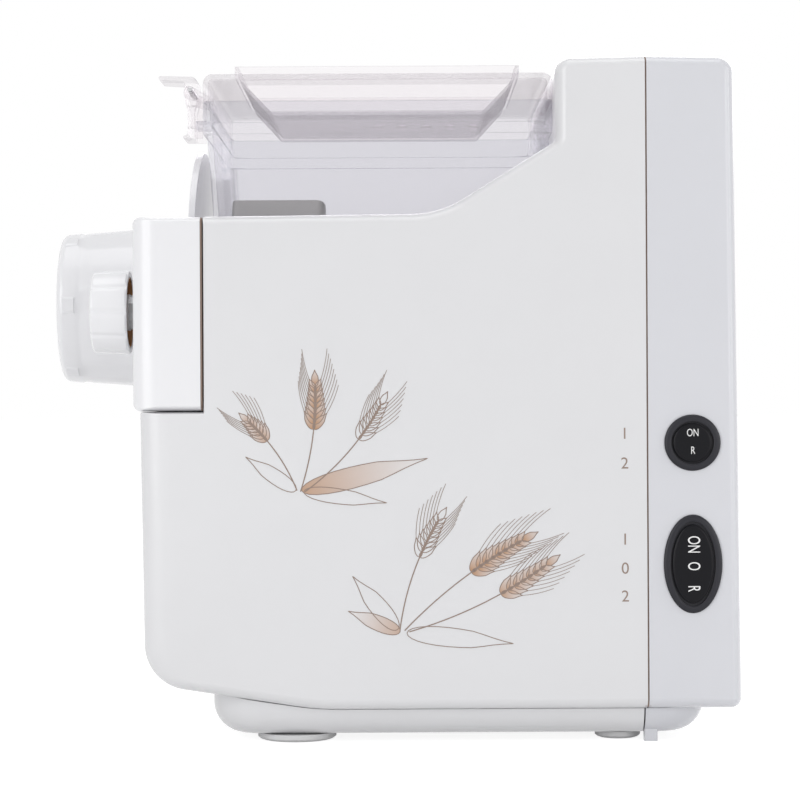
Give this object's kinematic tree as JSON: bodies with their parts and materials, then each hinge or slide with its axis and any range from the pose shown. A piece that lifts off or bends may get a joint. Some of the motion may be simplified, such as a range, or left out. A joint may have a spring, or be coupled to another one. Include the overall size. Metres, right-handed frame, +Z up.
{
  "type": "electric pasta maker",
  "caption": "Countertop electric pasta maker: clear kneading bowl and lid beside a gear column, screw extruder with round die nut, rocker switches on the side.",
  "frame": {"origin": "centre of the bounding box at the height of the surface that the machine stands on", "axes": "+Z up, -X towards the die nut at the front, -Y towards the side with the switches"},
  "size_m": [0.307, 0.202, 0.2997],
  "materials": {
    "white_shell": "gloss white injection moulding",
    "off_white_shell": "gloss off-white injection moulding",
    "white_panel": "gloss white injection moulding",
    "white_nut": "gloss white injection moulding",
    "clear_bowl": "clear polished plastic with a faint lilac tint",
    "clear_lid": "clear polished plastic with a faint lilac tint",
    "charcoal_plastic": "satin charcoal",
    "black_plastic": "gloss black with white marks",
    "grey_plastic": "satin dark grey",
    "nylon": "natural nylon",
    "foot_rubber": "matt rubber",
    "steel": "turned steel",
    "zinc_steel": "zinc plated sheet",
    "cast_aluminium": "turned cast aluminium",
    "brass": "turned brass"
  },
  "bodies": {
    "root": {"main_shell": "white_shell", "rear_shell": "off_white_shell", "base_plinth": "white_shell", "rear_plinth": "off_white_shell", "foot_front_left": "foot_rubber", "foot_front_right": "foot_rubber", "foot_rear_left": "foot_rubber", "foot_rear_right": "foot_rubber", "mixing_bowl": "clear_bowl", "shaft_seal": "foot_rubber", "bowl_well": "off_white_shell", "bowl_cradle": "off_white_shell", "extrusion_barrel": "cast_aluminium", "panel_stud_left": "steel", "panel_stud_right": "steel", "output_bearing_front": "steel", "output_bearing_rear": "steel", "layshaft_bush_front": "brass", "layshaft_bush_rear": "brass", "motor_can": "zinc_steel", "bulkhead": "off_white_shell", "gearbox_plate": "zinc_steel", "gearbox_post_upper_left": "steel", "gearbox_post_upper_right": "steel", "gearbox_post_lower_left": "steel", "gearbox_post_lower_right": "steel", "run_capacitor": "grey_plastic", "terminal_block": "nylon", "lid_switch": "black_plastic", "cord_gland": "foot_rubber", "selector_bezel": "charcoal_plastic", "power_bezel": "charcoal_plastic"},
    "front_panel": {"front_panel": "white_panel"},
    "noodle_die": {"noodle_die": "brass"},
    "die_nut": {"die_nut": "white_nut"},
    "stud_collar_left": {"stud_collar_left": "brass"},
    "hand_nut_left": {"hand_nut_left": "white_nut"},
    "stud_collar_right": {"stud_collar_right": "brass"},
    "hand_nut_right": {"hand_nut_right": "white_nut"},
    "lid": {"lid": "clear_lid", "latch_pin": "steel"},
    "lid_latch": {"lid_latch": "clear_lid"},
    "auger": {"auger_screw": "steel", "mixing_paddles": "grey_plastic", "output_shaft": "steel", "output_gear": "nylon"},
    "layshaft": {"layshaft": "steel", "layshaft_gear": "nylon", "layshaft_pinion": "steel"},
    "motor_rotor": {"motor_shaft": "steel", "motor_pinion": "steel", "motor_fan": "grey_plastic"},
    "selector_rocker": {"selector_rocker": "black_plastic"},
    "power_rocker": {"power_rocker": "black_plastic"}
  },
  "joints": [
    {"name": "panel_pull", "type": "slide", "parent": "root", "child": "front_panel", "axis": [-1, 0, 0], "range_m": [0, 0.035]},
    {"name": "die_out", "type": "slide", "parent": "front_panel", "child": "noodle_die", "axis": [-1, 0, 0], "range_m": [0, 0.0316]},
    {"name": "die_nut_turn", "type": "hinge", "parent": "noodle_die", "child": "die_nut", "pos_m": [-0.1135, 0.001, 0.193], "axis": [-1, 0, 0], "range_deg": [0, 1890]},
    {"name": "left_collar_out", "type": "slide", "parent": "front_panel", "child": "stud_collar_left", "axis": [-1, 0, 0], "range_m": [0, 0.0141]},
    {"name": "left_nut_turn", "type": "hinge", "parent": "stud_collar_left", "child": "hand_nut_left", "pos_m": [-0.109, -0.069, 0.1885], "axis": [-1, 0, 0], "range_deg": [0, 2520]},
    {"name": "right_collar_out", "type": "slide", "parent": "front_panel", "child": "stud_collar_right", "axis": [-1, 0, 0], "range_m": [0, 0.0141]},
    {"name": "right_nut_turn", "type": "hinge", "parent": "stud_collar_right", "child": "hand_nut_right", "pos_m": [-0.109, 0.071, 0.1885], "axis": [-1, 0, 0], "range_deg": [0, 2520]},
    {"name": "lid_lift", "type": "slide", "parent": "root", "child": "lid", "axis": [0, 0, 1], "range_m": [0, 0.06]},
    {"name": "latch_swing", "type": "hinge", "parent": "lid", "child": "lid_latch", "pos_m": [-0.0899, 0.001, 0.2934], "axis": [0, 1, 0], "range_deg": [0, 70]},
    {"name": "auger_turn", "type": "hinge", "parent": "root", "child": "auger", "pos_m": [0, 0.001, 0.193], "axis": [1, 0, 0], "continuous": true},
    {"name": "layshaft_turn", "type": "hinge", "parent": "root", "child": "layshaft", "pos_m": [0.0949, 0.001, 0.121], "axis": [1, 0, 0], "continuous": true},
    {"name": "motor_turn", "type": "hinge", "parent": "root", "child": "motor_rotor", "pos_m": [0.03, 0.001, 0.0685], "axis": [1, 0, 0], "continuous": true},
    {"name": "selector_tilt", "type": "hinge", "parent": "root", "child": "selector_rocker", "pos_m": [0.1321, -0.0993, 0.1302], "axis": [1, 0, 0], "range_deg": [-7, 7]},
    {"name": "power_tilt", "type": "hinge", "parent": "root", "child": "power_rocker", "pos_m": [0.1321, -0.0993, 0.0781], "axis": [1, 0, 0], "range_deg": [-8, 8]}
  ],
  "couplings": [
    {"joint": "die_out", "follows": "die_nut_turn", "m_per_rad": 0.00095493},
    {"joint": "left_collar_out", "follows": "left_nut_turn", "m_per_rad": 0.00031831},
    {"joint": "right_collar_out", "follows": "right_nut_turn", "m_per_rad": 0.00031831},
    {"joint": "layshaft_turn", "follows": "auger_turn", "ratio": -5},
    {"joint": "motor_turn", "follows": "auger_turn", "ratio": 30}
  ]
}
